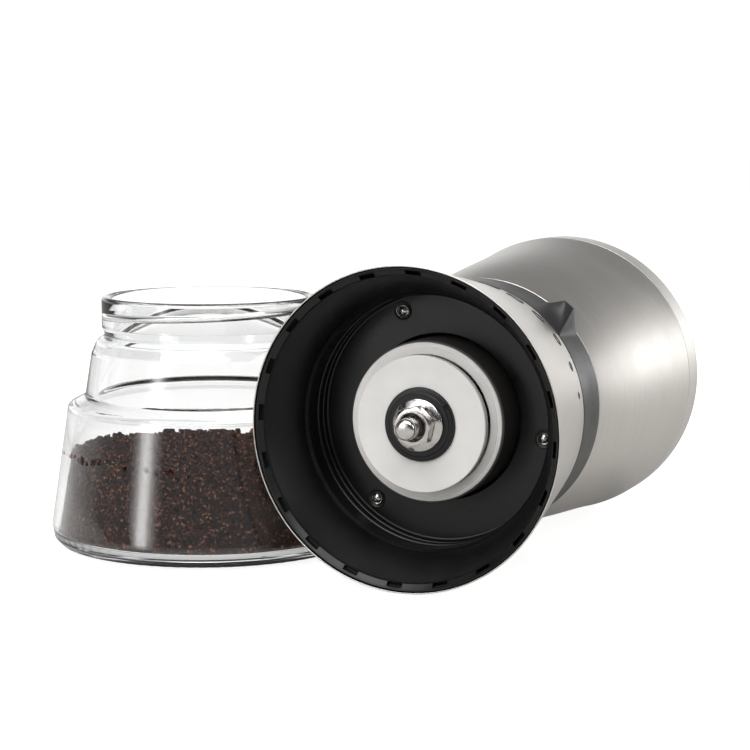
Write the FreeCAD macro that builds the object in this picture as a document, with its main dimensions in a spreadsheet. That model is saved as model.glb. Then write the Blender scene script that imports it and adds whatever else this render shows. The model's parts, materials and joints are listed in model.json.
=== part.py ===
"""Hand crank coffee grinder: a glass jar standing beside the grinder head that screws onto it.

The head is drawn upright in a frame of its own, with its mouth at zero and its axis along +Z,
and is then laid on its side next to the jar. All lengths are in millimetres.
"""
import FreeCAD, Part
import math
import os
import re
import Sketcher

V = FreeCAD.Vector

# Driving dimensions. Heights on the head are measured from its mouth, along its axis.
SIZES = {
    # where the head lies, from the middle of the jar's foot
    "head_across": 56.4, "head_forward": -71.7, "head_turn": 157.0, "head_tilt": 90.0,
    # steel shells
    "mouth_radius": 44.0, "waist_radius": 36.8, "hopper_foot_radius": 36.3, "lid_radius": 44.0,
    "shell_wall": 0.8, "skirt_top": 43.4, "hopper_foot": 60.3, "lid_seam": 132.0, "lid_top": 146.0,
    "flare_low": 80.0, "flare_low_radius": 39.0, "flare_high": 118.0, "flare_high_radius": 42.5,
    "lid_corner": 4.5, "seam_gap": 0.3, "edge_round": 0.35,
    # liner inside the skirt
    "liner_face": 0.4, "liner_outer_radius": 43.0, "liner_lip_radius": 40.0, "liner_top": 42.8,
    "liner_top_radius": 36.0, "liner_step": 14.5, "liner_step_radius": 35.0, "liner_wall": 2.0,
    "thread_start": 16.5, "thread_radius": 34.2, "thread_ridge": 0.8, "thread_pitch": 4.0,
    "floor_height": 29.0, "floor_wall": 2.5, "floor_hole_radius": 23.2, "socket_curve": 42.0,
    "slot_count": 20.0, "slot_length": 4.4, "slot_width": 1.1, "slot_radius": 41.7, "slot_depth": 2.0,
    "slot_turn": 3.7,
    # adjusting ring and the carrier that it lifts
    "ring_low": 43.7, "ring_high": 60.0, "ring_bore": 33.3, "ring_groove_radius": 35.0,
    "groove_low": 47.3, "groove_high": 54.7, "pointer_turn": 142.5, "pointer_width": 7.0,
    "pointer_reach": 41.6, "pointer_root": 34.5,
    "carrier_radius": 22.4, "carrier_low": 18.2, "carrier_high": 52.2, "carrier_flange": 49.8,
    "carrier_flange_radius": 28.5, "carrier_bore": 20.5, "carrier_throat": 16.5,
    "lug_reach": 34.6, "lug_width": 6.0,
    # burrs, hub and nut
    "burr_radius": 21.9, "burr_face": 17.2, "burr_body_radius": 20.4,
    "burr_top": 37.2, "burr_mouth_radius": 18.75, "burr_throat_radius": 11.4,
    "cone_face": 13.3, "cone_radius": 18.8, "cone_edge": 2.2, "cone_top": 37.0, "cone_top_radius": 9.0,
    "hub_face": 12.05, "hub_radius": 10.06, "hub_top": 24.0, "hub_seat_radius": 10.1,
    "tooth_count": 36.0, "tooth_depth": 1.3, "tooth_width": 1.4, "flute_count": 5.0,
    "flute_width": 4.0, "flute_depth": 3.4, "flute_length": 11.0,
    "nut_face": 6.95, "nut_flange": 10.8, "nut_flange_radius": 7.2, "nut_hex_radius": 5.77,
    "nut_bore": 3.03,
    # shaft and its bearings
    "shaft_low": 1.6, "shaft_radius": 3.0, "shaft_shoulder": 149.0, "shaft_high": 157.0,
    "shaft_hex_radius": 2.9, "shaft_round": 0.6, "bush_bore": 3.06, "bush_radius": 5.0,
    "bush_length": 8.0, "bush_flange_radius": 6.3, "bush_flange": 1.0,
    "low_bush": 59.5, "high_bush": 118.5, "boss_radius": 7.2, "arm_width": 4.0,
    "arm_height": 4.5, "low_arm_reach": 16.4, "high_arm_reach": 40.5,
    "washer_bore": 3.2, "washer_radius": 6.2, "washer_wall": 0.9, "spring_radius": 4.7,
    "spring_wire": 0.9, "spring_low": 38.6, "spring_high": 58.6, "spring_pitch": 3.6,
    "clip_low": 68.9, "clip_wall": 0.8, "clip_radius": 5.2, "clip_bore": 3.0, "clip_gap": 3.2,
    # hopper core
    "collar_radius": 33.0, "collar_bore": 29.0, "collar_low": 31.6, "core_wall": 1.2,
    "core_gap": 0.1, "core_top": 131.0, "funnel_top": 92.0, "funnel_foot": 57.0,
    "throat_radius": 13.5, "throat_wall": 2.0, "throat_low": 53.4, "funnel_under": 75.0,
    # liner screws
    "screw_circle": 31.26, "screw_head_radius": 1.95, "screw_head": 1.15, "screw_radius": 1.25,
    "screw_length": 12.0, "screw_turn": 68.4, "cross_width": 0.6, "cross_length": 2.4,
    "cross_depth": 0.8, "screw_face": 28.8, "recess_radius": 2.3, "recess_depth": 1.0,
    # lid
    "plug_disc": 1.8, "plug_ring_radius": 40.9, "plug_ring_wall": 1.6,
    "plug_low": 128.8, "lid_hole": 3.8, "gasket_radius": 40.95, "gasket_wire": 0.5,
    "gasket_height": 130.6,
    # crank and knob
    "crank_drop": -21.5, "crank_length": 86.0, "arm_low": 150.6, "arm_wall": 3.0,
    "arm_hub_radius": 9.0, "arm_knob_radius": 7.0, "hub_low": 147.0, "hub_flange_radius": 8.2,
    "hub_neck_radius": 5.5, "hub_high": 159.5, "socket_hex_radius": 2.97, "socket_high": 157.4,
    "pin_radius": 3.0, "pin_head_radius": 4.6, "pin_head": 1.4, "pin_high": 184.0,
    "knob_low": 154.4, "knob_high": 189.0, "knob_foot_radius": 8.5, "knob_radius": 12.0,
    "knob_belly": 176.0, "knob_bore": 3.07, "knob_recess_radius": 6.0, "knob_recess": 183.0,
    "cap_radius": 5.95, "cap_low": 187.0, "cap_wall": 2.0,
    # glass jar
    "foot_inner_radius": 38.0, "foot_radius": 44.2, "foot_hollow": 1.6, "belly_radius": 47.4,
    "belly_height": 6.6, "side_radius": 42.6, "side_height": 38.2, "step_radius": 36.8,
    "step_height": 45.2, "upper_radius": 35.0, "upper_height": 56.6, "neck_radius": 31.0,
    "neck_height": 62.6, "neck_top_radius": 31.85, "bead_low": 67.2,
    "bead_high": 70.2, "jar_height": 74.0, "glass_wall": 2.8, "glass_base": 6.5, "lip_round": 1.2,
    # coffee grounds
    "grounds_gap": 0.15, "grounds_edge": 25.5, "grounds_peak": 33.0,
}

doc = FreeCAD.newDocument("coffee_grinder")
sheet = doc.addObject("Spreadsheet::Sheet", "Dims")
for row, (alias, size) in enumerate(SIZES.items(), start=1):
    sheet.set("A%d" % row, alias)
    sheet.set("B%d" % row, str(size))
    sheet.setAlias("B%d" % row, alias)
doc.recompute()

NODES = []


def value(expression):
    """The number that an expression of sheet names gives."""
    return float(sheet.evalExpression(str(expression)))


def bound(expression):
    """The expression with every sheet name written as the other objects must write it."""
    return re.sub(r"[a-z_]+", lambda word: "Dims." + word[0] if word[0] in SIZES else word[0], str(expression))


def bind(thing, prop, expression):
    thing.setExpression(prop, bound(expression))


def origin_feature(body, role):
    return next(item for item in body.Origin.OriginFeatures if item.Role == role)


def new_sketch(body, name, plane, lift="0", turn="0"):
    """An empty sketch on one of the body's own planes, moved along its normal and turned about it."""
    sketch = body.newObject("Sketcher::SketchObject", name)
    sketch.AttachmentSupport = (origin_feature(body, plane), [""])
    sketch.MapMode = "FlatFace"
    if lift != "0":
        turned = FreeCAD.Rotation(V(0, 0, 1), value(turn))
        sketch.AttachmentOffset = FreeCAD.Placement(V(0, 0, value(lift)), turned)
        bind(sketch, "AttachmentOffset.Base.z", lift)
    return sketch


def hold(sketch, kind, edge, end, expression):
    """Hold one end of an edge at a distance from the sketch's origin that follows the sheet."""
    number = value(expression)
    if abs(number) < 1e-9:
        axis = -2 if kind == "DistanceX" else -1
        sketch.addConstraint(Sketcher.Constraint("PointOnObject", edge, end, axis))
        return
    index = sketch.addConstraint(Sketcher.Constraint(kind, -1, 1, edge, end, number))
    bind(sketch, "Constraints[%d]" % index, expression)


def arc_edge(start, end, radius, side):
    """The short arc from start to end with its centre to the left (side 1) or right (side -1)."""
    chord = end - start
    reach = math.sqrt(radius ** 2 - (chord.Length / 2) ** 2)
    left = V(-chord.y, chord.x, 0).normalize()
    centre = (start + end) * 0.5 + left * reach * side
    first, last = (start, end) if side > 0 else (end, start)
    angles = [math.atan2(point.y - centre.y, point.x - centre.x) for point in (first, last)]
    return Part.ArcOfCircle(Part.Circle(centre, V(0, 0, 1), radius), *angles)


def draw_outline(sketch, outline):
    """A closed outline of (across, up) corners; a third entry bends the edge that leaves a corner.

    The bend is (radius, side), as arc_edge takes it.
    """
    corners = [V(value(corner[0]), value(corner[1]), 0) for corner in outline]
    ends = []
    for number, corner in enumerate(outline):
        start, end = corners[number], corners[(number + 1) % len(corners)]
        if len(corner) == 2:
            edge = sketch.addGeometry(Part.LineSegment(start, end))
            ends.append((edge, 1, 2))
            continue
        radius, side = corner[2]
        edge = sketch.addGeometry(arc_edge(start, end, value(radius), side))
        ends.append((edge, 1, 2) if side > 0 else (edge, 2, 1))
    for number, (edge, start, end) in enumerate(ends):
        following = ends[(number + 1) % len(ends)]
        sketch.addConstraint(Sketcher.Constraint("Coincident", edge, end, following[0], following[1]))
        hold(sketch, "DistanceX", edge, start, outline[number][0])
        hold(sketch, "DistanceY", edge, start, outline[number][1])
        if len(outline[number]) == 3:
            radius = outline[number][2][0]
            index = sketch.addConstraint(Sketcher.Constraint("Radius", edge, value(radius)))
            bind(sketch, "Constraints[%d]" % index, radius)


def revolved(name, outline):
    """A body turned from an outline of (radius, height) corners about +Z."""
    body = doc.addObject("PartDesign::Body", name)
    sketch = new_sketch(body, name + "_outline", "XZ_Plane")
    draw_outline(sketch, outline)
    turn = body.newObject("PartDesign::Revolution", name + "_turn")
    turn.Profile = sketch
    turn.ReferenceAxis = (sketch, ["V_Axis"])
    turn.Angle = 360
    sketch.Visibility = False
    doc.recompute()
    return body


def polygon_sketch(body, name, sides, radius, lift):
    """A regular polygon round the axis, sized by the radius of its corners."""
    sketch = new_sketch(body, name, "XY_Plane", lift)
    step = 360 / sides
    draw_outline(sketch, [("(%s) * cos(%f)" % (radius, step * n), "(%s) * sin(%f)" % (radius, step * n))
                          for n in range(sides)])
    return sketch


def rectangle_sketch(body, name, low, high, lift, turn="0"):
    sketch = new_sketch(body, name, "XY_Plane", lift, turn)
    draw_outline(sketch, [(low[0], low[1]), (high[0], low[1]), (high[0], high[1]), (low[0], high[1])])
    return sketch


def cut(body, sketch, depth, upward=True):
    """A pocket from the sketch into the solid; it must take something away."""
    before = body.Shape.Volume
    pocket = body.newObject("PartDesign::Pocket", sketch.Name + "_cut")
    pocket.Profile = sketch
    pocket.Reversed = upward
    pocket.Length = value(depth)
    bind(pocket, "Length", depth)
    doc.recompute()
    if not body.Shape.Volume < before - 0.01:
        raise RuntimeError(sketch.Name + " cuts nothing")
    return pocket


def disc_sketch(body, name, radius, lift, across="0"):
    """One circle, centred on the body's axis or on a point along its X axis."""
    sketch = new_sketch(body, name, "XY_Plane", lift)
    circle = sketch.addGeometry(Part.Circle(V(value(across), 0, 0), V(0, 0, 1), value(radius)))
    hold(sketch, "DistanceX", circle, 3, across)
    hold(sketch, "DistanceY", circle, 3, "0")
    index = sketch.addConstraint(Sketcher.Constraint("Radius", circle, value(radius)))
    bind(sketch, "Constraints[%d]" % index, radius)
    return sketch


def pad(body, sketch, length):
    feature = body.newObject("PartDesign::Pad", sketch.Name + "_pad")
    feature.Profile = sketch
    feature.Length = value(length)
    bind(feature, "Length", length)
    doc.recompute()
    return feature


def round_pattern(body, feature, count):
    """Repeat a feature evenly round the body's axis."""
    pattern = body.newObject("PartDesign::PolarPattern", feature.Name + "_round")
    pattern.Originals = [feature]
    pattern.Axis = (origin_feature(body, "Z_Axis"), [""])
    pattern.Angle = 360
    pattern.Occurrences = int(value(count))
    body.Tip = pattern
    doc.recompute()
    return pattern


HEAD = FreeCAD.Placement(
    V(value("head_across"), value("head_forward"), value("mouth_radius")),
    FreeCAD.Rotation(value("head_turn"), 0, value("head_tilt")))


def about_axis(degrees):
    return FreeCAD.Placement(V(), FreeCAD.Rotation(V(0, 0, 1), degrees))


def keep_on_head(thing, label, turn=0.0):
    """Name a piece of the head and lay it down with the head."""
    thing.Label = label
    thing.Placement = HEAD.multiply(about_axis(turn))
    bind(thing, "Placement.Base.x", "head_across")
    bind(thing, "Placement.Base.y", "head_forward")
    bind(thing, "Placement.Base.z", "mouth_radius")
    NODES.append(thing)


def keep_at_jar(thing, label):
    thing.Label = label
    NODES.append(thing)


# ---------------------------------------------------------------- steel shells

def make_skirt_shell():
    lip = "mouth_radius - shell_wall"
    keep_on_head(revolved("SkirtShell", [
        ("mouth_radius", "edge_round"), ("waist_radius", "skirt_top"),
        ("waist_radius - shell_wall", "skirt_top"), (lip, "edge_round"), (lip, "0"),
        ("mouth_radius - edge_round", "0", ("edge_round", 1)),
    ]), "skirt_shell")


def make_hopper_shell():
    keep_on_head(revolved("HopperShell", [
        ("hopper_foot_radius", "hopper_foot"), ("flare_low_radius", "flare_low"),
        ("flare_high_radius", "flare_high"), ("lid_radius", "lid_seam"),
        ("lid_radius - shell_wall", "lid_seam"), ("flare_high_radius - shell_wall", "flare_high"),
        ("flare_low_radius - shell_wall", "flare_low"),
        ("hopper_foot_radius - shell_wall", "hopper_foot"),
    ]), "hopper_shell")


def make_lid_shell():
    inner_corner = "lid_corner - shell_wall"
    keep_on_head(revolved("LidShell", [
        ("lid_radius", "lid_seam + seam_gap"),
        ("lid_radius", "lid_top - lid_corner", ("lid_corner", 1)),
        ("lid_radius - lid_corner", "lid_top"), ("lid_hole", "lid_top"),
        ("lid_hole", "lid_top - shell_wall"),
        ("lid_radius - lid_corner", "lid_top - shell_wall", (inner_corner, -1)),
        ("lid_radius - shell_wall", "lid_top - lid_corner"),
        ("lid_radius - shell_wall", "lid_seam + seam_gap"),
    ]), "lid_shell")


# ---------------------------------------------------------------- skirt liner and its screws

def thread_outline():
    """Three low ridges inside the socket, from the floor down to the thread's start."""
    points = []
    for turn in (2, 1, 0):
        low = "thread_start + %d * thread_pitch" % turn
        points += [
            ("thread_radius", low + " + 2.4"), ("thread_radius - thread_ridge", low + " + 1.8"),
            ("thread_radius - thread_ridge", low + " + 1.0"), ("thread_radius", low + " + 0.4"),
        ]
    return points


def make_skirt_liner():
    body = revolved("SkirtLiner", [
        ("liner_outer_radius", "liner_face"), ("liner_top_radius", "liner_top"),
        ("liner_top_radius - liner_wall", "liner_top"),
        ("liner_top_radius - liner_wall", "floor_height + floor_wall"),
        ("floor_hole_radius", "floor_height + floor_wall"), ("floor_hole_radius", "floor_height"),
        ("thread_radius", "floor_height"),
    ] + thread_outline() + [
        ("thread_radius", "thread_start - 0.8"),
        ("liner_step_radius", "liner_step", ("socket_curve", -1)),
        ("liner_lip_radius", "liner_face"),
    ])
    slot = rectangle_sketch(
        body, "RimSlot", ("slot_radius - slot_width / 2", "-slot_length / 2"),
        ("slot_radius + slot_width / 2", "slot_length / 2"), "liner_face", "slot_turn")
    round_pattern(body, cut(body, slot, "slot_depth"), "slot_count")
    cut(body, screw_holes(body, "floor_height", "recess_radius"), "recess_depth")
    cut(body, screw_holes(body, "floor_height", "screw_radius + core_gap / 2"), "floor_wall")
    keep_on_head(body, "skirt_liner")


def screw_angles():
    """The three liner screws' angles about the head's axis."""
    return [value("screw_turn") + 120 * number for number in range(3)]


def make_liner_screws():
    """Three cross-head screws through the socket floor, as one group of solids."""
    tall = value("screw_head")
    head = Part.makeCylinder(value("screw_head_radius"), tall)
    head = head.makeFillet(0.4, [edge for edge in head.Edges if edge.BoundBox.ZMax < tall / 2])
    screw = head.fuse(Part.makeCylinder(value("screw_radius"), value("screw_length"), V(0, 0, tall)))
    length, width, depth = value("cross_length"), value("cross_width"), value("cross_depth")
    bar = Part.makeBox(length, width, depth, V(-length / 2, -width / 2, 0))
    other = bar.copy()
    other.rotate(V(), V(0, 0, 1), 90)
    screw = screw.cut(bar).cut(other).removeSplitter()
    copies = []
    for angle in screw_angles():
        copy = screw.copy()
        shift = FreeCAD.Placement(V(value("screw_circle"), 0, value("screw_face")), FreeCAD.Rotation())
        copy.Placement = about_axis(angle).multiply(shift)
        copies.append(copy)
    screws = doc.addObject("Part::Feature", "LinerScrews")
    screws.Shape = Part.makeCompound(copies)
    keep_on_head(screws, "liner_screws")


def screw_holes(body, low, radius):
    """A sketch of three round holes where the liner screws pass."""
    sketch = new_sketch(body, body.Name + "_screw_holes", "XY_Plane", low)
    for angle in screw_angles():
        across = "screw_circle * cos(%f)" % angle
        up = "screw_circle * sin(%f)" % angle
        circle = sketch.addGeometry(Part.Circle(V(value(across), value(up), 0), V(0, 0, 1), value(radius)))
        hold(sketch, "DistanceX", circle, 3, across)
        hold(sketch, "DistanceY", circle, 3, up)
        index = sketch.addConstraint(Sketcher.Constraint("Radius", circle, value(radius)))
        bind(sketch, "Constraints[%d]" % index, radius)
    return sketch


# ---------------------------------------------------------------- adjusting ring and carrier

def make_adjusting_ring():
    body = revolved("AdjustingRing", [
        ("waist_radius", "ring_low"), ("hopper_foot_radius", "ring_high"), ("ring_bore", "ring_high"),
        ("ring_bore", "groove_high"), ("ring_groove_radius", "groove_high"),
        ("ring_groove_radius", "groove_low"), ("ring_bore", "groove_low"), ("ring_bore", "ring_low"),
    ])
    fin = new_sketch(body, "PointerFin", "XZ_Plane")
    draw_outline(fin, [("pointer_root + 1.2", "ring_low"), ("waist_radius", "ring_low"),
                       ("pointer_reach", "ring_high - 1.6"), ("pointer_reach - 0.8", "ring_high"),
                       ("pointer_root + 1.2", "ring_high")])
    block = body.newObject("PartDesign::Pad", "PointerFin_pad")
    block.Profile = fin
    block.Midplane = True
    bind(block, "Length", "pointer_width")
    doc.recompute()
    keep_on_head(body, "adjusting_ring", value("pointer_turn"))


def make_burr_carrier():
    """A stepped sleeve that holds the outer burr, with three lugs reaching into the ring."""
    body = revolved("BurrCarrier", [
        ("carrier_radius", "carrier_low"), ("carrier_radius", "carrier_flange"),
        ("carrier_flange_radius", "carrier_flange"), ("carrier_flange_radius", "carrier_high"),
        ("carrier_throat", "carrier_high"), ("carrier_throat", "burr_top + 0.1"),
        ("carrier_bore", "burr_top + 0.1"), ("carrier_bore", "carrier_low"),
    ])
    lug = rectangle_sketch(body, "Lug", ("carrier_flange_radius - 2", "-lug_width / 2"),
                           ("lug_reach", "lug_width / 2"), "carrier_flange")
    round_pattern(body, pad(body, lug, "carrier_high - carrier_flange"), "3")
    keep_on_head(body, "burr_carrier", value("screw_turn") + 60)


# ---------------------------------------------------------------- burrs, hub and nut

def make_outer_burr():
    body = revolved("OuterBurr", [
        ("burr_mouth_radius", "burr_face"), ("burr_radius - 0.7", "burr_face", ("0.7", 1)),
        ("burr_radius", "burr_face + 0.7"), ("burr_radius", "burr_face + 1.0"),
        ("burr_body_radius", "burr_face + 1.0"), ("burr_body_radius", "burr_top"),
        ("burr_throat_radius", "burr_top"),
    ])
    keep_on_head(body, "outer_burr")


def make_inner_burr():
    body = revolved("InnerBurr", [
        ("hub_seat_radius", "cone_face"), ("cone_radius - 0.5", "cone_face", ("0.5", 1)),
        ("cone_radius", "cone_face + 0.5"), ("cone_radius", "cone_face + cone_edge"),
        ("cone_top_radius", "cone_top"), ("washer_bore", "cone_top"), ("washer_bore", "hub_top + 0.1"),
        ("hub_seat_radius", "hub_top + 0.1"),
    ])
    tooth = new_sketch(body, "Tooth", "XY_Plane", "cone_face + 0.6")
    draw_outline(tooth, [("cone_radius - tooth_depth", "0"), ("cone_radius + 0.4", "-tooth_width / 2"),
                         ("cone_radius + 0.4", "tooth_width / 2")])
    round_pattern(body, cut(body, tooth, "8"), "tooth_count")
    flute = rectangle_sketch(body, "Flute", ("cone_top_radius - flute_depth", "-flute_width / 2"),
                             ("cone_radius", "flute_width / 2"), "cone_top - flute_length")
    round_pattern(body, cut(body, flute, "flute_length + 1"), "flute_count")
    keep_on_head(body, "inner_burr")


def make_burr_hub():
    keep_on_head(revolved("BurrHub", [
        ("nut_bore", "hub_face"), ("hub_radius", "hub_face"), ("hub_radius", "hub_top"),
        ("nut_bore", "hub_top"),
    ]), "burr_hub")


def make_flange_nut():
    """A hexagon nut with its own round flange against the burr hub."""
    body = doc.addObject("PartDesign::Body", "FlangeNut")
    pad(body, polygon_sketch(body, "NutHexagon", 6, "nut_hex_radius", "nut_face"), "nut_flange - nut_face")
    pad(body, disc_sketch(body, "NutFlange", "nut_flange_radius", "nut_flange"), "hub_face - nut_flange")
    cut(body, disc_sketch(body, "NutBore", "nut_bore", "nut_face"), "hub_face - nut_face")
    keep_on_head(body, "flange_nut")


# ---------------------------------------------------------------- shaft and bearings

def make_drive_shaft():
    body = revolved("DriveShaft", [
        ("0", "shaft_low"), ("shaft_radius - shaft_round", "shaft_low", ("shaft_round", 1)),
        ("shaft_radius", "shaft_low + shaft_round"), ("shaft_radius", "shaft_shoulder"),
        ("0", "shaft_shoulder"),
    ])
    end = polygon_sketch(body, "ShaftHexagon", 6, "shaft_hex_radius", "shaft_shoulder")
    pad(body, end, "shaft_high - shaft_shoulder")
    keep_on_head(body, "drive_shaft", value("crank_drop"))


def make_bush(name, label, low):
    """A flanged plain bearing; its flange sits on top of the bridge's boss."""
    top = "%s + bush_length" % low
    keep_on_head(revolved(name, [
        ("bush_bore", low), ("bush_radius", low), ("bush_radius", top),
        ("bush_flange_radius", top), ("bush_flange_radius", top + " + bush_flange"),
        ("bush_bore", top + " + bush_flange"),
    ]), label)


def make_bridge(name, label, low, reach, turn):
    """Three arms and a boss that carry one of the shaft's bearings."""
    body = revolved(name, [
        ("bush_radius", low), ("boss_radius", low), ("boss_radius", low + " + bush_length"),
        ("bush_radius", low + " + bush_length"),
    ])
    arm = rectangle_sketch(body, name + "Arm", ("boss_radius - 1", "-arm_width / 2"),
                           (reach, "arm_width / 2"), low + " + 2")
    round_pattern(body, pad(body, arm, "arm_height"), "3")
    keep_on_head(body, label, turn)


def make_washer():
    keep_on_head(revolved("ThrustWasher", [
        ("washer_bore", "cone_top"), ("washer_radius", "cone_top"),
        ("washer_radius", "cone_top + washer_wall"), ("washer_bore", "cone_top + washer_wall"),
    ]), "thrust_washer")


def make_spring():
    """The coil that pushes the inner burr against its nut."""
    path = doc.addObject("Part::Helix", "SpringPath")
    bind(path, "Pitch", "spring_pitch")
    bind(path, "Height", "spring_high - spring_low")
    bind(path, "Radius", "spring_radius")
    wire = doc.addObject("Part::Circle", "SpringWire")
    bind(wire, "Radius", "spring_wire / 2")
    wire.Placement = FreeCAD.Placement(V(value("spring_radius"), 0, 0), FreeCAD.Rotation(V(1, 0, 0), 90))
    bind(wire, "Placement.Base.x", "spring_radius")
    doc.recompute()
    coil = doc.addObject("Part::Sweep", "ThrustSpring")
    coil.Sections = [wire]
    coil.Spine = (path, ["Edge1"])
    coil.Solid = True
    coil.Frenet = True
    doc.recompute()
    coil.Label = "thrust_spring"
    coil.Placement = HEAD.multiply(FreeCAD.Placement(V(0, 0, value("spring_low")), FreeCAD.Rotation()))
    NODES.append(coil)


def make_clip():
    """A retaining ring on the shaft, open at one side, above the lower bearing."""
    body = revolved("ShaftClip", [
        ("clip_bore", "clip_low"), ("clip_radius", "clip_low"),
        ("clip_radius", "clip_low + clip_wall"), ("clip_bore", "clip_low + clip_wall"),
    ])
    gap = rectangle_sketch(body, "ClipGap", ("1", "-clip_gap / 2"),
                           ("clip_radius + 1", "clip_gap / 2"), "clip_low")
    cut(body, gap, "clip_wall")
    keep_on_head(body, "shaft_clip")


# ---------------------------------------------------------------- hopper core and lid

def make_hopper_core():
    """The plastic core: a collar for the ring, a funnel, and a sleeve against the steel hopper."""
    inset = "shell_wall + core_gap"
    inner = "shell_wall + core_gap + core_wall"
    body = revolved("HopperCore", [
        ("collar_radius", "collar_low"), ("collar_radius", "hopper_foot + core_gap"),
        ("hopper_foot_radius - (%s)" % inset, "hopper_foot + core_gap"),
        ("flare_low_radius - (%s)" % inset, "flare_low"),
        ("flare_high_radius - (%s)" % inset, "flare_high"),
        ("lid_radius - (%s) - 0.15" % inset, "core_top"), ("lid_radius - (%s)" % inner, "core_top"),
        ("flare_high_radius - (%s)" % inner, "flare_high"),
        ("flare_low_radius - (%s) + 1" % inner, "funnel_top"),
        ("throat_radius", "funnel_foot"), ("throat_radius", "throat_low"),
        ("throat_radius + throat_wall", "throat_low"), ("throat_radius + throat_wall", "funnel_foot - 1"),
        ("collar_bore", "funnel_under"), ("collar_bore", "collar_low"),
    ])
    cut(body, screw_holes(body, "collar_low", "screw_radius + core_gap / 2"), "screw_length")
    window = rectangle_sketch(
        body, "LugWindow", ("collar_bore - 1", "-lug_width / 2 - 0.4"),
        ("collar_radius + 1", "lug_width / 2 + 0.4"), "groove_low", "screw_turn + 60")
    round_pattern(body, cut(body, window, "groove_high - groove_low"), "3")
    keep_on_head(body, "hopper_core")


def make_lid_plug():
    under = "lid_top - shell_wall - core_gap"
    keep_on_head(revolved("LidPlug", [
        ("lid_hole", under), ("lid_radius - lid_corner", under),
        ("lid_radius - lid_corner", under + " - plug_disc"), ("plug_ring_radius", under + " - plug_disc - 1.4"),
        ("plug_ring_radius", "gasket_height + 0.7"), ("plug_ring_radius - 0.7", "gasket_height + 0.7"),
        ("plug_ring_radius - 0.7", "gasket_height - 0.7"), ("plug_ring_radius", "gasket_height - 0.7"),
        ("plug_ring_radius", "plug_low"), ("plug_ring_radius - plug_ring_wall", "plug_low"),
        ("plug_ring_radius - plug_ring_wall", under + " - plug_disc"), ("lid_hole", under + " - plug_disc"),
    ]), "lid_plug")


def make_lid_gasket():
    ring = doc.addObject("Part::Torus", "LidGasket")
    bind(ring, "Radius1", "gasket_radius")
    bind(ring, "Radius2", "gasket_wire")
    doc.recompute()
    ring.Label = "lid_gasket"
    ring.Placement = HEAD.multiply(FreeCAD.Placement(V(0, 0, value("gasket_height")), FreeCAD.Rotation()))
    NODES.append(ring)


# ---------------------------------------------------------------- crank and knob

def keep_on_crank(thing, label):
    keep_on_head(thing, label, value("crank_drop"))


def make_crank_hub():
    body = revolved("CrankHub", [
        ("0", "hub_low"), ("hub_flange_radius", "hub_low"), ("hub_flange_radius", "arm_low"),
        ("hub_neck_radius", "arm_low"), ("hub_neck_radius", "arm_low + arm_wall"),
        ("hub_flange_radius", "arm_low + arm_wall"), ("hub_flange_radius", "hub_high - 2", ("2", 1)),
        ("hub_flange_radius - 2", "hub_high"), ("0", "hub_high"),
    ])
    socket = polygon_sketch(body, "HubSocket", 6, "socket_hex_radius", "shaft_shoulder")
    cut(body, socket, "socket_high - shaft_shoulder")
    cut(body, disc_sketch(body, "HubMouth", "bush_bore", "hub_low"), "shaft_shoulder - hub_low + 0.1")
    keep_on_crank(body, "crank_hub")


def make_crank_arm():
    """A flat bar with a round eye at each end."""
    body = doc.addObject("PartDesign::Body", "CrankArm")
    bar = new_sketch(body, "ArmBar", "XY_Plane", "arm_low")
    draw_outline(bar, [
        ("0", "-arm_hub_radius"), ("crank_length", "-arm_knob_radius", ("arm_knob_radius * 1.00001", 1)),
        ("crank_length", "arm_knob_radius"), ("0", "arm_hub_radius", ("arm_hub_radius * 1.00001", 1)),
    ])
    pad(body, bar, "arm_wall")
    cut(body, disc_sketch(body, "HubEye", "hub_neck_radius", "arm_low"), "arm_wall")
    cut(body, disc_sketch(body, "PinEye", "pin_radius", "arm_low", "crank_length"), "arm_wall")
    keep_on_crank(body, "crank_arm")


def keep_on_pin(body, label):
    """Name a piece turned about the knob's pin and put it at the far end of the arm."""
    body.Label = label
    shift = FreeCAD.Placement(V(value("crank_length"), 0, 0), FreeCAD.Rotation())
    body.Placement = HEAD.multiply(about_axis(value("crank_drop"))).multiply(shift)
    NODES.append(body)


def make_knob_pin():
    keep_on_pin(revolved("KnobPin", [
        ("0", "arm_low - pin_head"), ("pin_head_radius", "arm_low - pin_head"),
        ("pin_head_radius", "arm_low"), ("pin_radius", "arm_low"), ("pin_radius", "pin_high"),
        ("pin_head_radius", "pin_high"), ("pin_head_radius", "pin_high + pin_head"),
        ("0", "pin_high + pin_head"),
    ]), "knob_pin")


def make_crank_knob():
    keep_on_pin(revolved("CrankKnob", [
        ("knob_bore", "knob_low"), ("knob_foot_radius", "knob_low", ("34", -1)),
        ("knob_radius", "knob_belly", ("knob_high - knob_belly + 1.5", 1)), ("knob_radius - 4.2", "knob_high"),
        ("knob_recess_radius", "knob_high"), ("knob_recess_radius", "knob_recess"),
        ("knob_bore", "knob_recess"),
    ]), "crank_knob")


def make_knob_cap():
    keep_on_pin(revolved("KnobCap", [
        ("0", "cap_low"), ("cap_radius", "cap_low"), ("cap_radius", "cap_low + cap_wall"),
        ("0", "cap_low + cap_wall"),
    ]), "knob_cap")


# ---------------------------------------------------------------- jar and what it holds

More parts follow.
